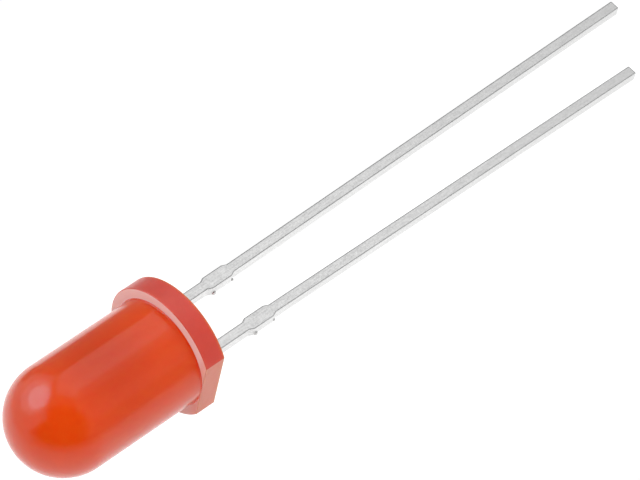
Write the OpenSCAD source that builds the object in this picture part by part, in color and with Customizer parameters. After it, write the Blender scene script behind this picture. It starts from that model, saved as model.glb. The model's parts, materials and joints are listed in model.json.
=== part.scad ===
// Through hole LED, 5 mm round, diffused, lying on its flange and on its two lead tips.
// The pieces are drawn upright, with the dome up, the leads down and side by side along Y,
// and the flat towards -Y. They are then laid down so that the leads run towards +X.
// The origin is where the lens's axis meets the underside of the flange.

/* [Lens] */
// Diameter of the round barrel and of its dome
body_d = 4.9; // [4.7:0.05:5.4]
// Height of the dome's tip above the underside of the flange
lens_h = 8.7; // [8.4:0.1:12]
// How far the flange stands out from the barrel
flange_lip = 0.5; // [0.3:0.05:0.8]
// Thickness of the flange
flange_t = 1; // [0.8:0.05:1.4]
// How far the flat on the flange stands out from the barrel
flat_lip = 0.05; // [0:0.01:0.2]
// Radius of the fillet between the barrel and the flange
root_r = 0.12; // [0.05:0.01:0.2]

/* [Leads] */
// Distance between the leads at the flange
lead_pitch = 2.54; // [2.3:0.02:2.8]
// Width of a lead, along the face of the sheet
lead_w = 0.48; // [0.4:0.02:0.6]
// Thickness of the sheet that the leads are stamped from
sheet_t = 0.5; // [0.4:0.02:0.6]
// Length of the anode lead below the flange
anode_length = 27.4; // [25:0.2:30]
// Length of the cathode lead below the flange
cathode_length = 25.4; // [23:0.2:29]
// Angle at which each lead leans outwards below the middle of its stop
lead_splay = 0.6; // [0:0.1:1.5]

/* [Stops] */
// Distance from the flange to the top of a stop
stop_drop = 2.55; // [2.3:0.05:4]
// Height of a stop, with its sloping shoulders
stop_h = 1.5; // [1:0.1:2.2]
// How far a stop stands out on each side of its lead
stop_ear = 0.1; // [0.05:0.01:0.2]
// Height of each sloping shoulder
shoulder_h = 0.22; // [0.1:0.02:0.3]

/* [Lead frame inside the lens] */
// Height above the flange's underside at which the anvil and the post widen
neck_h = 1.3; // [1:0.1:1.6]
// Gap between the anvil's round head and the post's head
frame_gap = 0.3; // [0.2:0.02:0.4]
// Height of the cup's rim above the flange's underside
cup_rim_h = 5.1; // [4.8:0.1:5.5]
// Diameter of the anvil's round head
head_d = 1.3; // [1.2:0.02:1.5]
// Height of the anvil's round head
head_h = 0.7; // [0.6:0.02:0.9]
// How far the round head stands out from the anvil's edges
head_rim = 0.1; // [0.09:0.01:0.14]
// Diameter of the reflector cup at its rim
cup_rim_d = 1.1; // [1:0.02:1.14]
// Diameter of the reflector cup's floor
cup_floor_d = 0.56; // [0.5:0.02:0.64]
// Depth of the reflector cup
cup_depth = 0.36; // [0.3:0.02:0.5]
// Height of the post's top above the flange's underside
post_h = 5; // [4.7:0.1:5.4]
// Width of the post's head
post_head_w = 0.9; // [0.7:0.02:1]

/* [Die and wire] */
// Side of the square die
die_w = 0.3; // [0.2:0.01:0.34]
// Thickness of the die
die_t = 0.2; // [0.1:0.01:0.25]
// Thickness of the adhesive that covers the cup's floor
adhesive_t = 0.03; // [0.01:0.005:0.05]
// Diameter of the bond wire
wire_d = 0.03; // [0.025:0.005:0.05]
// Diameter of the ball bond and of the stitch bond
bond_d = 0.09; // [0.06:0.01:0.12]
// Thickness of the ball bond and of the stitch bond
bond_t = 0.04; // [0.03:0.005:0.06]
// Distance of the stitch bond from the post's inner edge
stitch_inset = 0.22; // [0.1:0.02:0.4]

/* [Hidden] */
$fn = 96;

// Lens
body_r = body_d / 2;
flange_r = body_r + flange_lip;
flat_offset = body_r + flat_lip;
dome_h = lens_h - body_r; // height of the dome's centre

// Leads: distances from the axis towards a lead's own side
half_pitch = lead_pitch / 2;
lead_in = half_pitch - lead_w / 2;
lead_out = half_pitch + lead_w / 2;
stop_mid = stop_drop + stop_h / 2;

// Anvil and post
head_r = head_d / 2;
anvil_r = head_r - head_rim; // half the anvil's width at its head
head_foot = cup_rim_h - head_h;
cup_floor_h = cup_rim_h - cup_depth;
post_in = head_r + frame_gap;
post_out = post_in + post_head_w;

// Die and wire
die_h = cup_floor_h + adhesive_t; // height of the die's underside
die_top = die_h + die_t;
stitch_y = post_in + stitch_inset;
stitch_lift = post_h - die_top; // how far the stitch bond is above the ball bond
loop_r = (stitch_y ^ 2 + stitch_lift ^ 2) / (2 * stitch_y); // the loop rises straight from the die
loop_end = asin(stitch_lift / loop_r); // angle at which it meets the post
cup_slope = (cup_rim_d - cup_floor_d) / cup_depth;
cut_depth = adhesive_t / 2; // how much deeper the lens is cut for the small pieces

// The plane that the part rests on, in the lying frame before it is tilted:
// z = -(drop + slope_x * x + slope_y * y). It touches the flange's rim and the lower edge of
// each lead's tip, which gives a quadratic in slope_x.
function tip_x(length) = stop_mid + (length - stop_mid) * cos(lead_splay);
function tip_y(length) = half_pitch + (length - stop_mid) * sin(lead_splay);
anode_touch_y = tip_y(anode_length) - lead_w / 2;
cathode_touch_y = tip_y(cathode_length) + lead_w / 2;
skew = (tip_x(anode_length) - tip_x(cathode_length)) / (anode_touch_y + cathode_touch_y);
reach = tip_x(anode_length) - skew * anode_touch_y;
quad_a = reach ^ 2 - (flange_r * skew) ^ 2;
quad_b = -sheet_t * reach;
quad_c = (sheet_t / 2) ^ 2 - flange_r ^ 2;
slope_x = (-quad_b - sqrt(quad_b ^ 2 - 4 * quad_a * quad_c)) / (2 * quad_a);
slope_y = -skew * slope_x;
rest_roll = atan(slope_y);
rest_pitch = atan(-slope_x / sqrt(1 + slope_y ^ 2));

// Lays an upright piece down and tilts it to rest
module at_rest() {
    rotate([rest_roll, rest_pitch, 0]) rotate([0, -90, 0]) children();
}

// A flat outline, Y across and Z up, at the sheet's thickness
module stamped() {
    rotate([90, 0, 90]) linear_extrude(sheet_t, center = true) children();
}

// Points of a lead, turned outwards about the middle of its stop
function leaning(points) = [
    for (p = points) [
        half_pitch + (p.x - half_pitch) * cos(lead_splay) - (p.y + stop_mid) * sin(lead_splay),
        -stop_mid + (p.x - half_pitch) * sin(lead_splay) + (p.y + stop_mid) * cos(lead_splay)
    ]
];

// One edge of a lead, from its stop down to its tip: side is 1 for the outer edge, -1 for the inner
function edge_down(side, length) =
    let (narrow = half_pitch + side * lead_w / 2, wide = narrow + side * stop_ear)
    concat(
        [[narrow, -stop_drop], [wide, -stop_drop - shoulder_h]],
        leaning([
            [wide, shoulder_h - stop_drop - stop_h], [narrow, -stop_drop - stop_h], [narrow, -length]
        ])
    );

function reversed(points) = [for (i = [len(points) - 1:-1:0]) points[i]];

// A whole stamping. head lists the points inside the lens, from the lead's inner edge to its outer one.
function stamping(head, length) =
    concat(head, edge_down(1, length), reversed(edge_down(-1, length)));

post = [
    [lead_in, neck_h], [post_in, post_h - post_head_w], [post_in, post_h], [post_out, post_h],
    [post_out, post_h - post_head_w / 2], [lead_out, post_h - post_head_w]
];

anvil = [
    [lead_in, neck_h], [-anvil_r, neck_h], [-anvil_r, head_foot + head_h / 2],
    [anvil_r, head_foot + head_h / 2], [anvil_r, head_foot - head_rim], [lead_out, head_foot - head_r]
];

module anode_lead() {
    color("gainsboro") stamped() polygon(stamping(post, anode_length));
}

module cathode_lead() {
    color("gainsboro") difference() {
        union() {
            stamped() mirror([1, 0]) polygon(stamping(anvil, cathode_length));
            translate([0, 0, head_foot]) cylinder(h = head_h, d = head_d);
        }
        translate([0, 0, cup_floor_h]) cylinder(h = cup_depth, d1 = cup_floor_d, d2 = cup_rim_d);
    }
}

// The three small pieces below can reach deeper into what carries them. The lens is cut that way,
// so that it leaves no skin of epoxy between two pieces that touch.
module die_attach(deeper = 0) {
    color("silver") translate([0, 0, cup_floor_h - deeper])
        cylinder(
            h = adhesive_t + deeper,
            d1 = cup_floor_d - cup_slope * deeper,
            d2 = cup_floor_d + cup_slope * adhesive_t
        );
}

module led_die(deeper = 0) {
    color("dimgray") translate([-die_w / 2, -die_w / 2, die_h - deeper])
        cube([die_w, die_w, die_t + deeper]);
}

module bond_wire(deeper = 0) {
    color("gold") {
        for (bond = [[0, 0, die_top], [0, stitch_y, post_h]])
            translate(bond - [0, 0, deeper]) cylinder(h = bond_t + deeper, d = bond_d);
        translate([0, loop_r, die_top + bond_t / 2]) rotate([90, 0, 90]) rotate(loop_end)
            rotate_extrude(angle = 180 - loop_end) translate([loop_r, 0]) circle(d = wire_d);
    }
}

// Half of the lens's section, with its axis along Y
module lens_section() {
    square([flange_r, flange_t]);
    square([body_r, dome_h]);
    translate([0, dome_h]) intersection() {
        circle(r = body_r);
        square(body_r);
    }
    translate([body_r, flange_t]) difference() {
        square(root_r);
        translate([root_r, root_r]) circle(r = root_r);
    }
}

// Epoxy cast around everything else
module lens_body() {
    color("orangered") difference() {
        rotate_extrude() lens_section();
        translate([-flange_r, -flat_offset - flange_r, 0])
            cube([2 * flange_r, flange_r, flange_t + root_r]);
        anode_lead();
        cathode_lead();
        die_attach(cut_depth);
        led_die(cut_depth);
        bond_wire(cut_depth);
    }
}

at_rest() lens_body();
at_rest() anode_lead();
at_rest() cathode_lead();
at_rest() led_die();
at_rest() die_attach();
at_rest() bond_wire();
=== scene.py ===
import json
import math

import bmesh
import bpy
from mathutils import Matrix, Vector


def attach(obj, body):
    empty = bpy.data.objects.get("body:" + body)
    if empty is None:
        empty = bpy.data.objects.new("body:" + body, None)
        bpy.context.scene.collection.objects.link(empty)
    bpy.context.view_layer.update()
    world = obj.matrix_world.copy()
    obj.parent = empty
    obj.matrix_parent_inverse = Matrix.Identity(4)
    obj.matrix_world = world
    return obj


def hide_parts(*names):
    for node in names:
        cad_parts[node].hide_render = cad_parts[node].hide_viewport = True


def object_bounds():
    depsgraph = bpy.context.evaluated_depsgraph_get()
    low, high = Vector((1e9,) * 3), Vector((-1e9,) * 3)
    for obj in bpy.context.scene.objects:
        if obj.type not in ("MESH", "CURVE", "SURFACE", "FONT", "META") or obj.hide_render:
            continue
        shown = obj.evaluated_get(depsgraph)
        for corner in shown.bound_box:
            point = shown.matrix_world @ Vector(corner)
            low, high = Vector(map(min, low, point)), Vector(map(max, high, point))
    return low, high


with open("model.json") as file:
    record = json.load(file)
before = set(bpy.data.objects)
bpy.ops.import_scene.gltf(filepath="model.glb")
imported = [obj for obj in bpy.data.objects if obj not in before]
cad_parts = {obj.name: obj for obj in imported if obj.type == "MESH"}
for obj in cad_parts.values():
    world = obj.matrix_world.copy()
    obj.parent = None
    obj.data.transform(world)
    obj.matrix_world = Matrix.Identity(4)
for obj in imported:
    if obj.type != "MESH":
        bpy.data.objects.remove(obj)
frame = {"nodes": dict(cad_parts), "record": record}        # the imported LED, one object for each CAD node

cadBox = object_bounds()
record = frame["record"]
millimetre = 0.001       # the LED's sizes below are in millimetres until a piece is laid down


def mountNamed(name):
    return next(mount for mount in record["mounts"] if mount["name"] == name)


# Turns and scales the upright drawing frame, dome up and flat towards -Y, into the frame at rest
def layingDown():
    domeward = -Vector(mountNamed("seat")["axis"])
    anodePlace, cathodePlace = (Vector(mountNamed(name)["pos_m"]) for name in ("anode_pin", "cathode_pin"))
    across = (anodePlace - cathodePlace).normalized()
    turn = Matrix((across.cross(domeward), across, domeward)).transposed().to_4x4()
    return turn @ Matrix.Scale(millimetre, 4)


toRest = layingDown()
bodyRadius = mountNamed("lens_barrel")["dims"]["r_mm"]
anodeLength = mountNamed("anode_pin")["dims"]["length_mm"]
cathodeLength = mountNamed("cathode_pin")["dims"]["length_mm"]
halfPitch = Vector(mountNamed("anode_pin")["pos_m"]).length / millimetre


def addNode(tree, kind, **settings):
    node = tree.nodes.new(kind)
    for name, value in settings.items():
        setattr(node, name, value)
    return node


# Sets a socket to a value, or links another node's output to it
def plug(tree, socket, value):
    if isinstance(value, bpy.types.NodeSocket):
        tree.links.new(value, socket)
    else:
        socket.default_value = value


# Fills a node's inputs, in order or by name
def feed(tree, node, *values, **inputs):
    for socket, value in zip(node.inputs, values):
        plug(tree, socket, value)
    for name, value in inputs.items():
        plug(tree, node.inputs[name.replace("_", " ")], value)
    return node


def calc(tree, operation, *values):
    return feed(tree, addNode(tree, "ShaderNodeMath", operation=operation), *values).outputs[0]


def vectorCalc(tree, operation, *values):
    return feed(tree, addNode(tree, "ShaderNodeVectorMath", operation=operation), *values).outputs


# The three coordinates of a vector
def axesOf(tree, vector):
    return feed(tree, addNode(tree, "ShaderNodeSeparateXYZ"), vector).outputs


# Runs between two outputs as the value runs between two inputs, and stays level outside them
def remap(tree, value, outputs, inputs=(0.0, 1.0), interpolation="LINEAR"):
    node = addNode(tree, "ShaderNodeMapRange", interpolation_type=interpolation)
    feed(tree, node, Value=value, From_Min=inputs[0], From_Max=inputs[1],
         To_Min=outputs[0], To_Max=outputs[1])
    return node.outputs[0]


# Clouds of a size in millimetres
def noise(tree, place, size, **inputs):
    node = addNode(tree, "ShaderNodeTexNoise")
    return feed(tree, node, Vector=place, Scale=1 / (size * millimetre), **inputs).outputs[0]


def bumped(tree, height, strength, depth):
    node = addNode(tree, "ShaderNodeBump")
    return feed(tree, node, Height=height, Strength=strength, Distance=depth * millimetre).outputs[0]


def meshFrom(bm, name):
    mesh = bpy.data.meshes.new(name)
    bm.to_mesh(mesh)
    bm.free()
    return mesh


def newObject(name, mesh):
    piece = bpy.data.objects.new(name, mesh)
    bpy.context.scene.collection.objects.link(piece)
    return piece


# Applies the modifiers, lays the piece down, and says which body and nodes are its own
def finishPiece(piece, slotName, *nodes):
    depsgraph = bpy.context.evaluated_depsgraph_get()
    mesh = bpy.data.meshes.new_from_object(piece.evaluated_get(depsgraph))
    piece.modifiers.clear()
    piece.data = mesh
    mesh.name = piece.name
    mesh.transform(toRest)
    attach(piece, "root")
    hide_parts(*nodes)
    print(f"{piece.name}: {len(mesh.polygons)} faces")
    return piece


# Points on an arc in the (radius, height) plane, both ends included
def arc(centre, radius, startDegrees, endDegrees, steps):
    angles = [math.radians(startDegrees + (endDegrees - startDegrees) * i / steps) for i in range(steps + 1)]
    return [(centre[0] + radius * math.cos(a), centre[1] + radius * math.sin(a)) for a in angles]


def spread(start, end, steps):
    return [start + (end - start) * i / steps for i in range(steps + 1)]


def newMaterial(name):
    material = bpy.data.materials.new(name)
    material.use_nodes = True
    return material, material.node_tree, material.node_tree.nodes["Principled BSDF"]


# Red epoxy with a diffusing filler: light scatters inside it, and a soft gloss lies on top
epoxySettings = {
    "scatter": (3.0, 0.8, 0.3),      # how far each colour travels, in millimetres
    "refraction": 1.5,
    "coatRoughness": 0.32,
    "hazeRoughness": 0.3,            # of the pale bloom towards the outline
    "grainSize": 0.35,               # of the filler's clouding, in millimetres
    "grainDetail": 3.0,
    "grainRoughness": 0.6,
    "rippleSize": 1.6,               # of the mould's faint waviness, in millimetres
    "rippleDetail": 1.0,
    "rippleDepth": 0.1,
    "rippleStrength": 0.05,
    "tintFade": (1.0, 2.2),          # from where to where each painted patch of shade and light fades, in its own reach
}
epoxyFinishes = {
    "redEpoxy": {
        "colour": (0.77, 0.082, 0.004), "deepColour": (0.72, 0.072, 0.004),
        "roughness": (0.13, 0.18), "glossTint": (0.15, 0.86, 1.0), "shine": 0.5,
        "coat": 0.0, "haze": 0.1, "scattered": 1.0,
    },
    "rimEpoxy": {
        "colour": (0.63, 0.062, 0.034), "deepColour": (0.56, 0.053, 0.03),
        "roughness": (0.5, 0.6), "glossTint": (0.8, 0.95, 1.0), "shine": 0.5,
        "coat": 0.5, "haze": 0.25, "scattered": 0.8,
    },
    # matte, and pale pink partly as painted reflection of the white table on the flat
    "flatEpoxy": {
        "colour": (0.73, 0.28, 0.21), "deepColour": (0.69, 0.24, 0.175),
        "roughness": (0.5, 0.65), "glossTint": (1.0, 1.0, 1.0), "shine": 0.5,
        "coat": 0.0, "haze": 0.0, "scattered": 0.5,
    },
    # frosted, and paler still as painted reflection of the white table on the shelf
    "frostedEpoxy": {
        "colour": (1.0, 0.68, 0.65), "deepColour": (1.0, 0.62, 0.59),
        "roughness": (0.6, 0.75), "glossTint": (1.0, 1.0, 1.0), "shine": 0.1,
        "coat": 0.0, "haze": 0.35, "scattered": 0.1,
    },
}
# Shade and light painted into the epoxy's colour: the lead frame's painted shade in the red body, and the
# painted warm light that the body throws on the frosted shelf beside the flat
paintedEpoxyPatches = {
    "redEpoxy": {
        "colour": (0.52, 0.039, 0.007), "at": (0, 0, 4.4), "reach": (1.9, 1.2, 1.5), "share": 0.5,
    },
    "frostedEpoxy": {
        "colour": (1.0, 0.49, 0.41), "at": (0, -2.5, 1.0), "reach": (1.6, 0.3, 1.0), "share": 0.8,
    },
}


def mixColours(tree, factor, first, second):
    mix = feed(tree, addNode(tree, "ShaderNodeMix", data_type="RGBA"), factor)
    for socket, colour in zip(mix.inputs[6:8], (first, second)):
        plug(tree, socket, (*colour, 1) if isinstance(colour, tuple) else colour)
    return mix.outputs[2]


# How strongly a place takes a painted patch of shade and light, read off an ellipsoid round the patch's
# middle
def paintedPatchShare(tree, place, paintedPatch):
    mapping = feed(tree, addNode(tree, "ShaderNodeMapping", vector_type="TEXTURE"), Vector=place,
                   Location=toRest @ Vector(paintedPatch["at"]),
                   Rotation=toRest.to_euler(), Scale=[reach * millimetre for reach in paintedPatch["reach"]])
    away = vectorCalc(tree, "LENGTH", mapping.outputs[0])["Value"]
    return remap(tree, away, (paintedPatch["share"], 0.0), epoxySettings["tintFade"], "SMOOTHSTEP")


def epoxyMaterial(name):
    material, tree, principled = newMaterial(name)
    s, finish = epoxySettings, epoxyFinishes[name]
    place = addNode(tree, "ShaderNodeTexCoord").outputs["Object"]
    grain = noise(tree, place, s["grainSize"], Detail=s["grainDetail"], Roughness=s["grainRoughness"])
    colour = mixColours(tree, grain, finish["colour"], finish["deepColour"])
    # mixes in the painted shade of the lead frame and the painted warm light on the shelf
    if name in paintedEpoxyPatches:
        paintedPatch = paintedEpoxyPatches[name]
        colour = mixColours(tree, paintedPatchShare(tree, place, paintedPatch), colour, paintedPatch["colour"])
    ripple = noise(tree, place, s["rippleSize"], Detail=s["rippleDetail"])
    normal = bumped(tree, ripple, s["rippleStrength"], s["rippleDepth"])
    feed(tree, principled, Base_Color=colour, Roughness=remap(tree, grain, finish["roughness"]),
         Normal=normal, Coat_Normal=normal)
    feed(tree, principled, IOR=s["refraction"], Specular_IOR_Level=finish["shine"],
         Specular_Tint=(*finish["glossTint"], 1),
         Coat_Weight=finish["coat"], Coat_Roughness=s["coatRoughness"],
         Sheen_Weight=finish["haze"], Sheen_Roughness=s["hazeRoughness"],
         Subsurface_Weight=finish["scattered"], Subsurface_Radius=s["scatter"], Subsurface_Scale=millimetre)
    return material


# Tin plating on a stamped sheet: pale, satin, with fine marks along the lead. Sizes are in millimetres,
# and each roughness goes from the dull marks to the bright ones.
tinSettings = {
    "tinnedLead": {
        "colour": (0.79, 0.79, 0.785), "dullColour": (0.64, 0.64, 0.637),
        "roughness": (0.42, 0.26), "metallic": 1.0,
        "streakLength": 2.5, "streakWidth": 0.06, "grainSize": 0.09, "relief": 0.12,
    },
    # the rounded edges: partly a sheared finish, and darker to paint the dark room's reflection as a dark
    # line along each edge
    "shearedEdge": {
        "colour": (0.74, 0.74, 0.74), "dullColour": (0.60, 0.60, 0.60),
        "roughness": (0.45, 0.3), "metallic": 1.0,
        "streakLength": 0.8, "streakWidth": 0.04, "grainSize": 0.09, "relief": 0.2,
    },
    "tornBurr": {
        "colour": (0.80, 0.80, 0.79), "dullColour": (0.62, 0.62, 0.61),
        "roughness": (0.4, 0.3), "metallic": 0.6,
        "streakLength": 0.1, "streakWidth": 0.04, "grainSize": 0.05, "relief": 0.3,
    },
}
tinMarks = {
    "detail": 2.0,
    "streakRoughness": 0.55,
    "contrast": (0.33, 0.67),    # the marks between these levels run from dull to bright
    "depth": 0.02,
}
tipDulling = {"from": 8, "to": 27, "share": 0.55}   # where along the lead it gets darker and rougher towards the tip, and by how much


def tinMaterial(name):
    material, tree, principled = newMaterial(name)
    s, marks = tinSettings[name], tinMarks
    place = addNode(tree, "ShaderNodeTexCoord").outputs["Object"]
    across = 1 / (s["streakWidth"] * millimetre)
    mapping = feed(tree, addNode(tree, "ShaderNodeMapping"), Vector=place,
                   Scale=(1 / (s["streakLength"] * millimetre), across, across))
    streaks = feed(tree, addNode(tree, "ShaderNodeTexNoise"), Vector=mapping.outputs[0], Scale=1.0,
                   Detail=marks["detail"], Roughness=marks["streakRoughness"]).outputs[0]
    grain = noise(tree, place, s["grainSize"], Detail=marks["detail"])
    relief = calc(tree, "MULTIPLY", calc(tree, "ADD", streaks, grain), 0.5)
    # darker and rougher towards the tip
    tipwardFade = remap(tree, axesOf(tree, place)["X"], (1.0, 1.0 - tipDulling["share"]),
                 (tipDulling["from"] * millimetre, tipDulling["to"] * millimetre))
    bright = calc(tree, "MULTIPLY", remap(tree, relief, (0.0, 1.0), marks["contrast"]), tipwardFade)
    feed(tree, principled, Base_Color=mixColours(tree, bright, s["dullColour"], s["colour"]),
         Roughness=remap(tree, bright, s["roughness"]), Metallic=s["metallic"],
         Normal=bumped(tree, relief, s["relief"], marks["depth"]))
    return material


# The three tiny pieces: two tones in a grain, and a gloss
tinySettings = {
    "led_die": {"name": "dieCrystal", "tones": ((0.16, 0.15, 0.15), (0.26, 0.25, 0.24)),
                "grain": 0.03, "roughness": 0.3, "metallic": 0.4},
    "die_attach": {"name": "silverPaste", "tones": ((0.62, 0.61, 0.59), (0.80, 0.79, 0.77)),
                   "grain": 0.015, "roughness": 0.45, "metallic": 0.9},
    "bond_wire": {"name": "goldWire", "tones": ((0.95, 0.66, 0.25), (1.0, 0.76, 0.36)),
                  "grain": 0.02, "roughness": 0.22, "metallic": 1.0},
}


def tinyMaterial(settings):
    material, tree, principled = newMaterial(settings["name"])
    place = addNode(tree, "ShaderNodeTexCoord").outputs["Object"]
    colour = mixColours(tree, noise(tree, place, settings["grain"]), *settings["tones"])
    feed(tree, principled, Base_Color=colour, Metallic=settings["metallic"], Roughness=settings["roughness"])
    return material


def dressTinyNodes():
    for name, settings in tinySettings.items():
        node = frame["nodes"][name]
        material = tinyMaterial(settings)
        for slot in node.material_slots:
            slot.material = material


# The lens is a half section lathed round its axis, with the flat cut into its flange
lensSettings = {
    "height": 8.7,
    "flangeLip": 0.5,
    "flangeThickness": 1.0,
    "flatLip": 0.05,
    "rootRadius": 0.07,      # between the barrel and the flange
    "rimRadius": 0.035,      # of the flange's edges
    "meniscusHeight": 0.16,  # where the epoxy climbs up each lead
    "meniscusReach": 0.3,
    "sharpestSmooth": 28,    # degrees: a sharper fold in the surface stays crisp
    "segments": 292,         # so that a column of points falls on each corner of the flat
    "undersideRings": (0, 0.35, 0.65, *spread(0.7, 1.9, 30), 2.1, 2.4, 2.7),   # close round the leads
    "arcSteps": {"rim": 4, "root": 6, "dome": 44},
    "plainSteps": {"rim": 4, "shelf": 3, "barrel": 10},
    "plainMargins": {"rim": 1.6, "shelf": 1.1, "barrel": 1.2},     # in radii of the arc beside them
    "domeMargin": 0.1,
    "levelWithin": 0.0001,   # heights this close to the underside belong to it
    "weldWithin": 0.0005,
}
leadSize = {"width": 0.48, "thickness": 0.5}


# The section as (radius, height), from the middle of the underside to the dome's tip
def lensSection():
    s = lensSettings
    flangeRadius = bodyRadius + s["flangeLip"]
    thickness, rim, root = s["flangeThickness"], s["rimRadius"], s["rootRadius"]
    arcSteps, plainSteps, margins = s["arcSteps"], s["plainSteps"], s["plainMargins"]
    rimMargin, domeFoot = margins["rim"] * rim, s["height"] - bodyRadius
    underside = [(r, 0) for r in (*s["undersideRings"], flangeRadius - rimMargin)]
    lowerRim = arc((flangeRadius - rim, rim), rim, -90, 0, arcSteps["rim"])
    rimFace = [(flangeRadius, h) for h in spread(rimMargin, thickness - rimMargin, plainSteps["rim"])]
    upperRim = arc((flangeRadius - rim, thickness - rim), rim, 0, 90, arcSteps["rim"])
    shelfEnd = bodyRadius + margins["shelf"] * root
    shelf = [(r, thickness) for r in spread(flangeRadius - rimMargin, shelfEnd, plainSteps["shelf"])]
    fillet = arc((bodyRadius + root, thickness + root), root, 270, 180, arcSteps["root"])
    barrelFoot = thickness + margins["barrel"] * root
    barrel = [(bodyRadius, h) for h in spread(barrelFoot, domeFoot - s["domeMargin"], plainSteps["barrel"])]
    dome = arc((0, domeFoot), bodyRadius, 0, 90, arcSteps["dome"])
    return underside + lowerRim + rimFace + upperRim + shelf + fillet + barrel + dome


# A grid with a row for each point of the section and a column for each step round the axis, and the radius,
# height and angle at which each of its points lies
def lathedGrid(tree, given):
    count = feed(tree, addNode(tree, "GeometryNodeAttributeDomainSize"), Geometry=given["Section"])
    columns = calc(tree, "ADD", given["Segments"], 1.0)
    grid = feed(tree, addNode(tree, "GeometryNodeMeshGrid"), Vertices_X=count.outputs["Point Count"],
                Vertices_Y=columns)
    index = addNode(tree, "GeometryNodeInputIndex").outputs[0]
    row = calc(tree, "FLOOR", calc(tree, "DIVIDE", calc(tree, "ADD", index, 0.5), columns))
    column = calc(tree, "SUBTRACT", index, calc(tree, "MULTIPLY", row, columns))
    angle = calc(tree, "MULTIPLY", column, calc(tree, "DIVIDE", 2 * math.pi, given["Segments"]))
    sample = addNode(tree, "GeometryNodeSampleIndex", data_type="FLOAT_VECTOR", domain="POINT")
    feed(tree, sample, Geometry=given["Section"], Index=row,
         Value=addNode(tree, "GeometryNodeInputPosition").outputs[0])
    point = axesOf(tree, sample.outputs[0])
    return grid.outputs["Mesh"], point["X"], point["Z"], angle


# The flat: no point of the flange goes past a plane, and its rounded edges follow that plane
def cutByFlat(tree, given, radius, angle):
    inset = calc(tree, "MINIMUM", calc(tree, "SUBTRACT", given["Flange Radius"], radius), given["Rim Radius"])
    facing = calc(tree, "COSINE", angle)
    limit = calc(tree, "DIVIDE", calc(tree, "SUBTRACT", given["Flat Offset"], inset),
                 calc(tree, "MAXIMUM", facing, 0.5))   # past 60 degrees nothing is cut
    cut = calc(tree, "MINIMUM", radius, limit)
    sideways = calc(tree, "MULTIPLY", cut, calc(tree, "SINE", angle))
    flatward = calc(tree, "MULTIPLY", calc(tree, "MULTIPLY", cut, facing), -1.0)
    return sideways, flatward


# How far outside a strip of some half width a place lies, on either side
def outsideStrip(tree, place, halfWidth):
    return calc(tree, "MAXIMUM", calc(tree, "SUBTRACT", calc(tree, "ABSOLUTE", place), halfWidth), 0.0)


# The meniscus: how far the underside climbs each lead
def meniscusClimb(tree, given, sideways, flatward, height):
    past = outsideStrip(tree, sideways, given["Lead Half Thickness"])
    fromLead = calc(tree, "SUBTRACT", calc(tree, "ABSOLUTE", flatward), given["Half Pitch"])
    beside = outsideStrip(tree, fromLead, given["Lead Half Width"])
    squares = calc(tree, "ADD", calc(tree, "POWER", past, 2.0), calc(tree, "POWER", beside, 2.0))
    away = calc(tree, "DIVIDE", calc(tree, "SQRT", squares), given["Meniscus Reach"])
    near = calc(tree, "SUBTRACT", 1.0, calc(tree, "MINIMUM", away, 1.0))
    under = calc(tree, "LESS_THAN", height, given["Level Within"])
    return calc(tree, "MULTIPLY", calc(tree, "MULTIPLY", calc(tree, "POWER", near, 2.0), under),
                given["Meniscus Height"])


# What tells the flat's and the shelf's faces from the rest of the lens
finishTests = {
    "flatDistance": 0.95,    # the flat's faces lie past this share of its distance from the axis,
    "flatTurn": 0.1,         # turn towards its side by more than this,
    "flatTilt": 0.25,        # and tilt sideways by less than this
    "shelfRise": 0.02,       # the shelf takes in this share of the fillet's radius
    "shelfWithin": 0.001,
}


# The red finish all over, then the finishes of the flange's rim, flat and shelf; the flat's and the shelf's
# pale colours are partly painted reflection of the white table
def dressLens(tree, given, shaped):
    tests = finishTests
    place = axesOf(tree, addNode(tree, "GeometryNodeInputPosition").outputs[0])
    normal = axesOf(tree, addNode(tree, "GeometryNodeInputNormal").outputs[0])
    belowShelf = calc(tree, "LESS_THAN", place["Z"], given["Flange Thickness"])
    limit = calc(tree, "MULTIPLY", given["Flat Offset"], -tests["flatDistance"])
    onFlat = belowShelf
    for passed in (calc(tree, "LESS_THAN", place["Y"], limit),
                   calc(tree, "LESS_THAN", normal["Y"], -tests["flatTurn"]),
                   calc(tree, "LESS_THAN", calc(tree, "ABSOLUTE", normal["X"]), tests["flatTilt"])):
        onFlat = calc(tree, "MULTIPLY", onFlat, passed)
    rise = calc(tree, "MULTIPLY", given["Root Radius"], tests["shelfRise"])
    onShelf = calc(tree, "COMPARE", place["Z"], calc(tree, "ADD", given["Flange Thickness"], rise),
                   calc(tree, "ADD", rise, tests["shelfWithin"]))
    dressed = feed(tree, addNode(tree, "GeometryNodeSetMaterial"), Geometry=shaped, Material=given["Finish"])
    for finish, chosen in (("Rim Finish", belowShelf), ("Flat Finish", onFlat), ("Shelf Finish", onShelf)):
        dressed = feed(tree, addNode(tree, "GeometryNodeSetMaterial"), Geometry=dressed.outputs[0],
                       Selection=chosen, Material=given[finish])
    return dressed.outputs[0]


lensInputs = {
    "Section": "Geometry",
    "Segments": "Int",
    "Flange Radius": "Float",
    "Flange Thickness": "Float",
    "Flat Offset": "Float",
    "Rim Radius": "Float",
    "Root Radius": "Float",
    "Half Pitch": "Float",
    "Lead Half Width": "Float",
    "Lead Half Thickness": "Float",
    "Meniscus Height": "Float",
    "Meniscus Reach": "Float",
    "Sharpest Smooth": "Float",
    "Level Within": "Float",
    "Weld Within": "Float",
    "Finish": "Material",
    "Rim Finish": "Material",
    "Flat Finish": "Material",
    "Shelf Finish": "Material",
}


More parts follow.
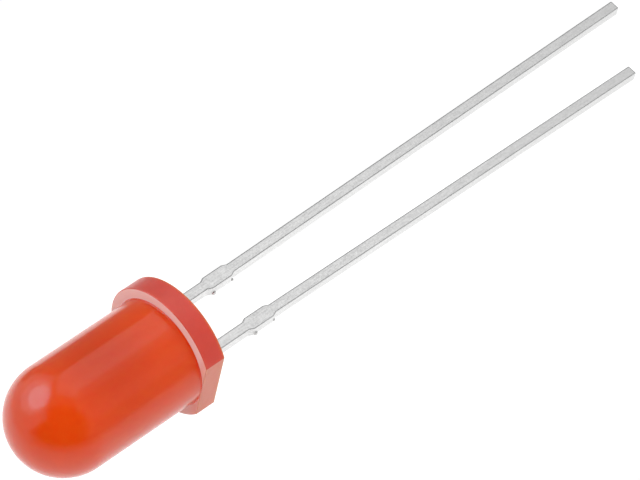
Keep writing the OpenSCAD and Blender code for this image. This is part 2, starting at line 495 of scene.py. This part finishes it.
def lensTree():
    tree = bpy.data.node_groups.new("castLens", "GeometryNodeTree")
    for name, kind in lensInputs.items():
        tree.interface.new_socket(name, in_out="INPUT", socket_type="NodeSocket" + kind)
    tree.interface.new_socket("Lens", in_out="OUTPUT", socket_type="NodeSocketGeometry")
    given = addNode(tree, "NodeGroupInput").outputs

    grid, radius, height, angle = lathedGrid(tree, given)
    sideways, flatward = cutByFlat(tree, given, radius, angle)
    climb = meniscusClimb(tree, given, sideways, flatward, height)
    place = feed(tree, addNode(tree, "ShaderNodeCombineXYZ"), X=sideways, Y=flatward,
                 Z=calc(tree, "SUBTRACT", height, climb))
    shaped = feed(tree, addNode(tree, "GeometryNodeSetPosition"), Geometry=grid, Position=place.outputs[0])
    welded = feed(tree, addNode(tree, "GeometryNodeMergeByDistance"), Geometry=shaped.outputs[0],
                  Distance=given["Weld Within"])
    outward = feed(tree, addNode(tree, "GeometryNodeFlipFaces"), Mesh=welded.outputs[0])
    smooth = feed(tree, addNode(tree, "GeometryNodeSetShadeSmooth", domain="FACE"),
                  Geometry=outward.outputs[0], Shade_Smooth=True)
    bend = addNode(tree, "GeometryNodeInputMeshEdgeAngle").outputs[0]
    crisp = feed(tree, addNode(tree, "GeometryNodeSetShadeSmooth", domain="EDGE"), Geometry=smooth.outputs[0],
                 Selection=calc(tree, "GREATER_THAN", bend, given["Sharpest Smooth"]), Shade_Smooth=False)
    real = feed(tree, addNode(tree, "GeometryNodeRealizeInstances"), Geometry=crisp.outputs[0])
    dressed = dressLens(tree, given, real.outputs[0])
    feed(tree, addNode(tree, "NodeGroupOutput"), dressed)
    return tree


def runTree(piece, tree, values):
    modifier = piece.modifiers.new(tree.name, "NODES")
    modifier.node_group = tree
    sockets = {item.name: item.identifier for item in tree.interface.items_tree if item.in_out == "INPUT"}
    for name, value in values.items():
        modifier[sockets[name]] = value


def makeLens():
    s = lensSettings
    section = bpy.data.meshes.new("lensSection")
    section.from_pydata([(r, 0, h) for r, h in lensSection()], [], [])
    lens = newObject("castLens", section)
    runTree(lens, lensTree(), {
        "Segments": s["segments"],
        "Flange Radius": bodyRadius + s["flangeLip"],
        "Flange Thickness": s["flangeThickness"],
        "Flat Offset": bodyRadius + s["flatLip"],
        "Rim Radius": s["rimRadius"],
        "Root Radius": s["rootRadius"],
        "Half Pitch": halfPitch,
        "Lead Half Width": leadSize["width"] / 2,
        "Lead Half Thickness": leadSize["thickness"] / 2,
        "Meniscus Height": s["meniscusHeight"],
        "Meniscus Reach": s["meniscusReach"],
        "Sharpest Smooth": math.radians(s["sharpestSmooth"]),
        "Level Within": s["levelWithin"],
        "Weld Within": s["weldWithin"],
        "Finish": epoxyMaterial("redEpoxy"),
        "Rim Finish": epoxyMaterial("rimEpoxy"),
        "Flat Finish": epoxyMaterial("flatEpoxy"),
        "Shelf Finish": epoxyMaterial("frostedEpoxy"),
    })
    return finishPiece(lens, "red_epoxy", "lens_body")


# The leads are flat stampings with rounded edges, a stop on each, and their heads inside the lens
stopSettings = {
    "drop": 2.55,            # below the flange
    "height": 1.5,
    "ear": 0.1,              # how far it stands out on each side
    "shoulder": 0.22,        # how long its slanting ends are
    "splay": 0.6,            # degrees, of the lead from the stop on
}
headSettings = {
    "neck": 1.3,
    "gap": 0.3,              # between the head with the cup and the post
    "postTop": 5.0,
    "postWidth": 0.9,
    "cupRim": 5.1,
    "headDiameter": 1.3,
    "headHeight": 0.7,
    "headRim": 0.1,
    "cupRimDiameter": 1.1,
    "cupFloorDiameter": 0.56,
    "cupDepth": 0.36,
    "cupSteps": 64,
    "cupWeld": 0.0001,
}
edgeSettings = {
    "radius": 0.045,
    "rolledRadius": 0.085,   # of upper edges that the die pulled down, on the anode's side and at the tips
    "segments": 4,
    "sharpestKept": 35,      # degrees: a sharper corner is rounded
    "straightOn": 0.9,       # how fully a face looks up or along the lead,
    "slanting": 0.3,         # or leans towards the anode's side, to count as doing so
}


# A lead's outline as (across, up), from the head's points round by its outer edge to its inner one
def leadOutline(head, length):
    stop = stopSettings
    middle = -stop["drop"] - stop["height"] / 2
    lean = Matrix.Rotation(math.radians(stop["splay"]), 2)
    pivot = Vector((halfPitch, middle))

    def edgeDown(side):
        narrow = halfPitch + side * leadSize["width"] / 2
        wide = narrow + side * stop["ear"]
        foot = -stop["drop"] - stop["height"]
        straight = [(narrow, -stop["drop"]), (wide, -stop["drop"] - stop["shoulder"])]
        leaning = [(wide, foot + stop["shoulder"]), (narrow, foot), (narrow, -length)]
        return straight + [tuple(pivot + lean @ (Vector(p) - pivot)) for p in leaning]

    return head + edgeDown(1) + edgeDown(-1)[::-1]


def stampedMesh(name, outline):
    half = leadSize["thickness"] / 2
    bm = bmesh.new()
    under = [bm.verts.new((-half, y, z)) for y, z in outline]
    over = [bm.verts.new((half, y, z)) for y, z in outline]
    bm.faces.new(under)
    bm.faces.new(over)
    for i in range(len(outline)):
        j = (i + 1) % len(outline)
        bm.faces.new((under[i], under[j], over[j], over[i]))
    bmesh.ops.recalc_face_normals(bm, faces=bm.faces)
    s = edgeSettings
    weights = bm.edges.layers.float.new("bevel_weight_edge")
    for edge in bm.edges:
        if edge.calc_face_angle() > math.radians(s["sharpestKept"]):
            upward = max(face.normal.x for face in edge.link_faces) > s["straightOn"]
            anodeward = max(face.normal.y for face in edge.link_faces) > s["slanting"]
            tipward = max(-face.normal.z for face in edge.link_faces) > s["straightOn"]
            rolled = upward and (anodeward or tipward)
            edge[weights] = 1.0 if rolled else s["radius"] / s["rolledRadius"]
    return meshFrom(bm, name)


def roundEdges(piece):
    bevel = piece.modifiers.new("roundedEdges", "BEVEL")
    bevel.width = edgeSettings["rolledRadius"]
    bevel.segments = edgeSettings["segments"]
    bevel.limit_method = "WEIGHT"
    # the rounded edges take the darker finish, which paints a dark reflected line along each edge
    bevel.material = list(tinSettings).index("shearedEdge")
    for polygon in piece.data.polygons:
        polygon.use_smooth = True


# Where the bar between the leads was sheared off, burrs hang from the ends of each stop: how far below the
# stop's top, in from its edge and up from the sheet's underside they lie, and their half sizes
burrSettings = [
    {"below": 0.34, "inward": 0.0, "raised": 0.06, "size": (0.12, 0.08, 0.105)},
    {"below": 1.40, "inward": 0.04, "raised": 0.06, "size": (0.07, 0.06, 0.07)},
]


def burrMesh(centre):
    bm = bmesh.new()
    for burr in burrSettings:
        for side in (-1, 1):
            edge = centre + side * (leadSize["width"] / 2 + stopSettings["ear"] - burr["inward"])
            x, z = burr["raised"] - leadSize["thickness"] / 2, -stopSettings["drop"] - burr["below"]
            shape = Matrix.Translation((x, edge, z)) @ Matrix.Diagonal((*burr["size"], 1))
            bmesh.ops.create_icosphere(bm, subdivisions=2, radius=1, matrix=shape)
    mesh = meshFrom(bm, "stopBurrs")
    for polygon in mesh.polygons:
        polygon.use_smooth = True
        polygon.material_index = list(tinSettings).index("tornBurr")
    return mesh


# Joins meshes to a lead, lays it down, and clears the joined pieces away
def uniteAndFinish(lead, meshes, slotName, nodeName):
    others = []
    for mesh in meshes:
        other = newObject(mesh.name, mesh)
        for finish in lead.data.materials:
            mesh.materials.append(finish)
        join = lead.modifiers.new(mesh.name, "BOOLEAN")
        join.operation = "UNION"
        join.solver = "EXACT"
        join.object = other
        others.append(other)
    even = lead.modifiers.new("evenShading", "WEIGHTED_NORMAL")
    even.keep_sharp = True
    finishPiece(lead, slotName, nodeName)
    for other in others:
        bpy.data.objects.remove(other)
    return lead


# The round head of the anvil, turned in its own section, with the reflector cup sunk into it
def cupMesh():
    h = headSettings
    outer, rim, floor = (h[name] / 2 for name in ("headDiameter", "cupRimDiameter", "cupFloorDiameter"))
    foot, cupFloor = h["cupRim"] - h["headHeight"], h["cupRim"] - h["cupDepth"]
    section = [(0, foot), (outer, foot), (outer, h["cupRim"]), (rim, h["cupRim"]), (floor, cupFloor),
               (0, cupFloor)]
    bm = bmesh.new()
    line = [bm.verts.new((r, 0, z)) for r, z in section]
    edges = [bm.edges.new(pair) for pair in zip(line, line[1:])]
    bmesh.ops.spin(bm, geom=line + edges, cent=(0, 0, 0), axis=(0, 0, 1), angle=2 * math.pi,
                   steps=h["cupSteps"])
    bmesh.ops.remove_doubles(bm, verts=bm.verts, dist=h["cupWeld"])
    bmesh.ops.recalc_face_normals(bm, faces=bm.faces)
    return meshFrom(bm, "cupHead")


# A lead's sheet, with its finishes and rounded edges
def stampedLead(name, outline, finishes):
    lead = newObject(name, stampedMesh(name, outline))
    for finish in finishes:
        lead.data.materials.append(finish)
    roundEdges(lead)
    return lead


def makeAnode(finishes):
    h = headSettings
    inner, outer = halfPitch - leadSize["width"] / 2, halfPitch + leadSize["width"] / 2
    postIn = h["headDiameter"] / 2 + h["gap"]
    postOut = postIn + h["postWidth"]
    foot = h["postTop"] - h["postWidth"]
    post = [(inner, h["neck"]), (postIn, foot), (postIn, h["postTop"]), (postOut, h["postTop"]),
            (postOut, h["postTop"] - h["postWidth"] / 2), (outer, foot)]
    lead = stampedLead("anodeLead", leadOutline(post, anodeLength), finishes)
    return uniteAndFinish(lead, [burrMesh(halfPitch)], "tinned_lead", "anode_lead")


def makeCathode(finishes):
    h = headSettings
    inner, outer = halfPitch - leadSize["width"] / 2, halfPitch + leadSize["width"] / 2
    headRadius = h["headDiameter"] / 2
    edge = headRadius - h["headRim"]
    foot = h["cupRim"] - h["headHeight"]
    top = (foot + h["cupRim"] - h["cupDepth"]) / 2   # inside the head, below the cup's floor
    anvil = [(inner, h["neck"]), (-edge, h["neck"]), (-edge, top), (edge, top), (edge, foot - h["headRim"]),
             (outer, foot - headRadius)]
    mirrored = [(-y, z) for y, z in leadOutline(anvil, cathodeLength)]
    lead = stampedLead("cathodeLead", mirrored, finishes)
    return uniteAndFinish(lead, [cupMesh(), burrMesh(-halfPitch)], "tinned_lead", "cathode_lead")


# The table, and how brightly it glows at some distances from the LED, in millimetres
floorSettings = {
    "radius": 5.0,                             # in metres
    "edges": 64,
    "bounce": (0.8, 0.8, 0.8),                 # as it lights the LED
    "shadowShare": 0.1,                        # how much of the shadow shows
    "ground": ((60, 0.92), (400, 1.0)),
    # in gloss, its glow is multiplied by these
    "nearSide": ((4, 1.2), (32, 0.42)),
    "pastDome": ((11, 1.3), (15, 0.9)),
    "pastBarrel": ((12, 1.3), (16, 0.32)),
    "pastLeads": ((4, 0.25), (32, 0.3)),
    # where each gives way to the next: in Y for the far side, and in X along the LED
    "farSideTurns": (1.5, 4),
    "barrelTurns": (-8, -5),
    "leadTurns": (3, 7),
}


# Runs straight between two stops, each a distance and the value there
def runBetween(tree, distance, stops):
    (start, low), (end, high) = stops
    return remap(tree, distance, (low, high), (start * millimetre, end * millimetre))


# How far a place lies from the LED's box, over the table
def awayFromBox(tree, place):
    middle, reach = (cadBox[0] + cadBox[1]) / 2, (cadBox[1] - cadBox[0]) / 2
    offset = vectorCalc(tree, "SUBTRACT", place, (middle.x, middle.y, 0))[0]
    aside = vectorCalc(tree, "ABSOLUTE", offset)[0]
    beyond = vectorCalc(tree, "SUBTRACT", aside, (reach.x, reach.y, 0))[0]
    outside = vectorCalc(tree, "MAXIMUM", beyond, (0, 0, 0))[0]
    return vectorCalc(tree, "LENGTH", outside)["Value"]


# How brightly the table glows in gloss, on the LED's near side and along its far side
def tableInGloss(tree, place, away):
    s = floorSettings
    axes = axesOf(tree, place)
    farSide, alongBarrel, alongLeads = (
        runBetween(tree, axes[axis], zip(s[name], (0.0, 1.0)))
        for axis, name in (("Y", "farSideTurns"), ("X", "barrelTurns"), ("X", "leadTurns")))
    nearSide, pastDome, pastBarrel, pastLeads = (
        runBetween(tree, away, s[name]) for name in ("nearSide", "pastDome", "pastBarrel", "pastLeads"))
    farGlow = remap(tree, alongLeads, (remap(tree, alongBarrel, (pastDome, pastBarrel)), pastLeads))
    return remap(tree, farSide, (nearSide, farGlow))


# White to the camera, with the shadow kept, uneven to gloss, and plain white as it lights the LED
def tableMaterial():
    s = floorSettings
    material = bpy.data.materials.new("whiteTable")
    material.use_nodes = True
    tree = material.node_tree
    tree.nodes.clear()
    place = addNode(tree, "ShaderNodeTexCoord").outputs["Object"]
    away = awayFromBox(tree, place)
    path = addNode(tree, "ShaderNodeLightPath").outputs
    seen = path["Is Camera Ray"]
    for ray in ("Is Glossy Ray", "Is Transmission Ray"):
        seen = calc(tree, "MAXIMUM", seen, path[ray])
    shown = calc(tree, "MAXIMUM", path["Is Camera Ray"], tableInGloss(tree, place, away))
    shaded = feed(tree, addNode(tree, "ShaderNodeBsdfDiffuse"),
                  Color=calc(tree, "MULTIPLY", shown, s["shadowShare"]))
    glowing = feed(tree, addNode(tree, "ShaderNodeEmission"), Color=(1, 1, 1, 1),
                   Strength=calc(tree, "MULTIPLY", shown, runBetween(tree, away, s["ground"])))
    white = feed(tree, addNode(tree, "ShaderNodeAddShader"), shaded.outputs[0], glowing.outputs[0])
    plain = feed(tree, addNode(tree, "ShaderNodeBsdfDiffuse"), Color=(*s["bounce"], 1))
    mix = feed(tree, addNode(tree, "ShaderNodeMixShader"), seen, plain.outputs[0], white.outputs[0])
    feed(tree, addNode(tree, "ShaderNodeOutputMaterial"), mix.outputs[0])
    return material


def makeFloor():
    bm = bmesh.new()
    bmesh.ops.create_circle(bm, cap_ends=True, segments=floorSettings["edges"],
                            radius=floorSettings["radius"])
    mesh = meshFrom(bm, "tableTop")
    mesh.materials.append(tableMaterial())
    floor = newObject("tableTop", mesh)
    floor.location.z = cadBox[0].z


# The direction at an angle from +X round to +Y, and an angle up, in degrees
def pointing(azimuth, elevation):
    a, e = math.radians(azimuth), math.radians(elevation)
    return Vector((math.cos(a) * math.cos(e), math.sin(a) * math.cos(e), math.sin(e)))


# Each lamp: the direction it stands in, its distance and size in metres, and its glow
lampSettings = {
    "softBox": {
        "azimuth": 119, "elevation": 36, "distance": 0.5, "size": (0.56, 0.56), "shape": "DISK",
        "glow": 0.7, "colour": (0.95, 0.98, 1.05), "inGloss": True, "inDiffuse": False,
    },
    "softBoxCore": {
        "azimuth": 124, "elevation": 44, "distance": 0.48, "size": (0.36, 0.36), "shape": "DISK",
        "glow": 1.6, "colour": (0.95, 0.98, 1.05), "inGloss": True, "inDiffuse": False,
    },
    "backdrop": {
        "azimuth": 124, "elevation": 30, "distance": 0.6, "size": (1.2, 0.75), "shape": "RECTANGLE",
        "glow": 0.55, "colour": (1, 1, 1), "inGloss": True, "inDiffuse": False,
    },
    "longPanel": {
        "azimuth": 33, "elevation": 59, "distance": 0.6, "size": (0.40, 0.56), "shape": "RECTANGLE",
        "glow": 0.45, "colour": (1, 1, 1), "inGloss": True, "inDiffuse": True,
    },
    "widePanel": {
        "azimuth": 22, "elevation": 54, "distance": 0.62, "size": (0.62, 0.52), "shape": "RECTANGLE",
        "glow": 0.16, "colour": (1, 1, 1), "inGloss": True, "inDiffuse": True,
    },
    "sidePanel": {
        "azimuth": -30, "elevation": 42, "distance": 0.64, "size": (0.75, 0.65), "shape": "RECTANGLE",
        "glow": 0.13, "colour": (1, 1, 1), "inGloss": True, "inDiffuse": True,
    },
    "farFill": {
        "azimuth": 110, "elevation": 45, "distance": 0.6, "size": (0.7, 0.6), "shape": "RECTANGLE",
        "glow": 0.47, "colour": (1, 1, 1), "inGloss": False, "inDiffuse": True,
    },
    "leftFill": {
        "azimuth": 185, "elevation": 25, "distance": 0.6, "size": (0.8, 0.6), "shape": "RECTANGLE",
        "glow": 0.7, "colour": (1, 1, 1), "inGloss": False, "inDiffuse": True,
    },
    "nearFill": {
        "azimuth": -90, "elevation": 30, "distance": 0.6, "size": (0.8, 0.6), "shape": "RECTANGLE",
        "glow": 0.67, "colour": (1, 1, 1), "inGloss": False, "inDiffuse": True,
    },
    "topFill": {
        "azimuth": -60, "elevation": 75, "distance": 0.6, "size": (0.6, 0.6), "shape": "RECTANGLE",
        "glow": 0.95, "colour": (1, 1, 1), "inGloss": False, "inDiffuse": True,
    },
}
wattsPerGlow = 4         # for each square metre of a lamp: a glow of 1 then looks white


def makeLamp(name, settings):
    data = bpy.data.lights.new(name, "AREA")
    data.shape = settings["shape"]
    data.size, data.size_y = settings["size"]
    data.color = settings["colour"]
    area = settings["size"][0] * settings["size"][1]
    if settings["shape"] == "DISK":
        area *= math.pi / 4
    data.energy = wattsPerGlow * area * settings["glow"]
    lamp = bpy.data.objects.new(name, data)
    lamp.visible_glossy = settings["inGloss"]
    lamp.visible_diffuse = settings["inDiffuse"]
    bpy.context.scene.collection.objects.link(lamp)
    aim = (cadBox[0] + cadBox[1]) / 2
    away = pointing(settings["azimuth"], settings["elevation"])
    lamp.location = aim + away * settings["distance"]
    lamp.rotation_euler = away.to_track_quat("Z", "Y").to_euler()


# The room: white to the camera, and in reflections dim grey, dark on one side and paler low down on another
roomSettings = {
    "grey": 0.28,
    "dark": 0.02,
    # within and beyond are cosines of the angle from the patch's middle
    "darkPatch": {"azimuth": -133, "elevation": 30, "within": 0.74, "beyond": 0.59},
    "paleSide": {"azimuth": -60, "elevation": 5, "within": 0.97, "beyond": 0.7, "added": 0.12},
}


# From 1 within a patch of directions to 0 beyond it
def patchShade(tree, direction, patch):
    middle = pointing(patch["azimuth"], patch["elevation"])
    along = vectorCalc(tree, "DOT_PRODUCT", direction, middle)["Value"]
    return remap(tree, along, (0.0, 1.0), (patch["beyond"], patch["within"]), "SMOOTHSTEP")


def makeRoom():
    world = bpy.data.worlds.new("room")
    bpy.context.scene.world = world
    world.use_nodes = True
    tree = world.node_tree
    direction = addNode(tree, "ShaderNodeTexCoord").outputs["Generated"]
    s = roomSettings
    darkened = calc(tree, "MULTIPLY", patchShade(tree, direction, s["darkPatch"]), s["grey"] - s["dark"])
    lifted = calc(tree, "MULTIPLY", patchShade(tree, direction, s["paleSide"]), s["paleSide"]["added"])
    grey = calc(tree, "ADD", calc(tree, "SUBTRACT", s["grey"], darkened), lifted)
    path = addNode(tree, "ShaderNodeLightPath").outputs
    seen = calc(tree, "MAXIMUM", path["Is Camera Ray"], path["Is Transmission Ray"])
    strength = feed(tree, addNode(tree, "ShaderNodeMix"), Factor=seen, A=grey, B=1.0).outputs[0]
    feed(tree, tree.nodes["Background"], Color=(1, 1, 1, 1), Strength=strength)


# The aim, the distance and the lens are in millimetres
cameraSettings = {
    "aim": (7.987, 0.008, -0.524),
    "azimuth": -136.255,
    "elevation": 54.177,
    "roll": 3.315,
    "distance": 192.134,
    "lens": 260.85,
    "clip": (0.01, 20),      # in metres, to take in the whole table
}


def makeCamera():
    s = cameraSettings
    data = bpy.data.cameras.new("camera")
    data.lens = s["lens"]
    data.clip_start, data.clip_end = s["clip"]
    camera = bpy.data.objects.new("camera", data)
    bpy.context.scene.collection.objects.link(camera)
    away = pointing(s["azimuth"], s["elevation"])
    camera.location = (Vector(s["aim"]) + away * s["distance"]) * millimetre
    level = away.to_track_quat("Z", "Y").to_matrix()
    camera.rotation_euler = (level @ Matrix.Rotation(math.radians(s["roll"]), 3, "Z")).to_euler()
    bpy.context.scene.camera = camera
    bpy.context.scene.view_settings.view_transform = "Standard"


makeCamera()
makeRoom()
makeFloor()
for lampName, lampValues in lampSettings.items():
    makeLamp(lampName, lampValues)
print("camera, room, table and lamps set")
makeLens()
tinFinishes = [tinMaterial(name) for name in tinSettings]
makeAnode(tinFinishes)
makeCathode(tinFinishes)
dressTinyNodes()
print("die, paste and wire finished")
